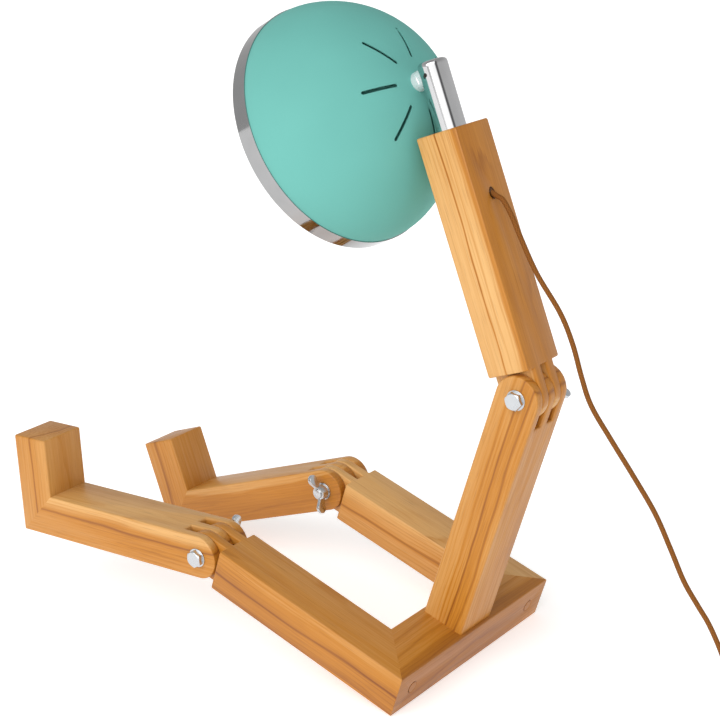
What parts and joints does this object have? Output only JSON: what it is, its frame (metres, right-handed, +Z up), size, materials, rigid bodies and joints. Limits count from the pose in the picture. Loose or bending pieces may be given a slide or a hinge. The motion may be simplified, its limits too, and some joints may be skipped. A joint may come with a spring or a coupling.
{
  "type": "floor lamp",
  "caption": "Floor lamp shaped as a seated figure of hinged wooden bars, with bolted knees and waist, a chrome neck tube and a dome shade on a swivel.",
  "frame": {"origin": "on the floor, under the middle of the lamp without its cord", "axes": "+Z up; the lamp faces -Y; its left side is +X, along the hinge bolts"},
  "size_m": [0.288, 0.9455, 0.6779],
  "materials": {
    "wood": "satin varnish",
    "peg_wood": "satin varnish",
    "steel": "zinc plated",
    "dark_steel": "blackened",
    "chrome": "polished",
    "shade_paint": "gloss",
    "holder_plastic": "gloss",
    "bush_plastic": "gloss",
    "brass": "plain",
    "glass": "opal",
    "cord": "braided",
    "plug_plastic": "smooth"
  },
  "bodies": {
    "hips": {"hip_crossbar": "wood", "thigh_left": "wood", "thigh_right": "wood", "hip_screws": "steel", "hip_plugs": "peg_wood", "waist_bar": "wood", "waist_dowels": "peg_wood", "waist_bolt": "steel", "waist_washer": "steel", "cord_free": "cord", "cord_coil": "cord", "cord_tie": "plug_plastic", "plug_body": "plug_plastic", "plug_pins": "steel"},
    "leg_left": {"shin_left": "wood", "foot_left": "wood", "foot_dowels_left": "peg_wood", "knee_bolt_left": "steel", "knee_washer_left": "steel"},
    "leg_right": {"shin_right": "wood", "foot_right": "wood", "foot_dowels_right": "peg_wood", "knee_bolt_right": "steel", "knee_washer_right": "steel"},
    "nut_left": {"knee_wing_nut_left": "steel"},
    "nut_right": {"knee_wing_nut_right": "steel"},
    "nut_waist": {"waist_wing_nut": "steel"},
    "back": {"torso": "wood", "cord_bush": "bush_plastic", "cord_inner": "cord", "neck_tube": "chrome", "swivel_pin": "dark_steel", "swivel_spacers": "steel"},
    "head": {"swivel_boss": "chrome", "shade": "shade_paint", "rim_ring": "chrome", "shade_nipple": "steel", "shade_nut": "steel", "vent_shield": "shade_paint", "lamp_holder": "holder_plastic", "bulb_cap": "brass", "bulb_glass": "glass"}
  },
  "joints": [
    {"name": "knee_left", "type": "hinge", "parent": "hips", "child": "leg_left", "pos_m": [0.109, -0.03416, 0.11043], "axis": [1, 0, 0], "range_deg": [-65.5, 69.5]},
    {"name": "knee_right", "type": "hinge", "parent": "hips", "child": "leg_right", "pos_m": [-0.109, -0.03416, 0.11043], "axis": [1, 0, 0], "range_deg": [-83, 52]},
    {"name": "waist", "type": "hinge", "parent": "hips", "child": "back", "pos_m": [0, 0.29319, 0.31657], "axis": [1, 0, 0], "range_deg": [-83.5, 21.5], "deforming": ["cord_free"]},
    {"name": "shade_nod", "type": "hinge", "parent": "back", "child": "head", "pos_m": [0, 0.18544, 0.61894], "axis": [0.9976, -0.0657, -0.0234], "range_deg": [-37, 1]},
    {"name": "nut_left_turn", "type": "hinge", "parent": "leg_left", "child": "nut_left", "pos_m": [0.071, -0.03416, 0.11043], "axis": [1, 0, 0], "range_deg": [-180, 180]},
    {"name": "nut_right_turn", "type": "hinge", "parent": "leg_right", "child": "nut_right", "pos_m": [-0.071, -0.03416, 0.11043], "axis": [1, 0, 0], "range_deg": [-180, 180]},
    {"name": "nut_waist_turn", "type": "hinge", "parent": "hips", "child": "nut_waist", "pos_m": [-0.038, 0.29319, 0.31657], "axis": [1, 0, 0], "range_deg": [-180, 180]}
  ]
}
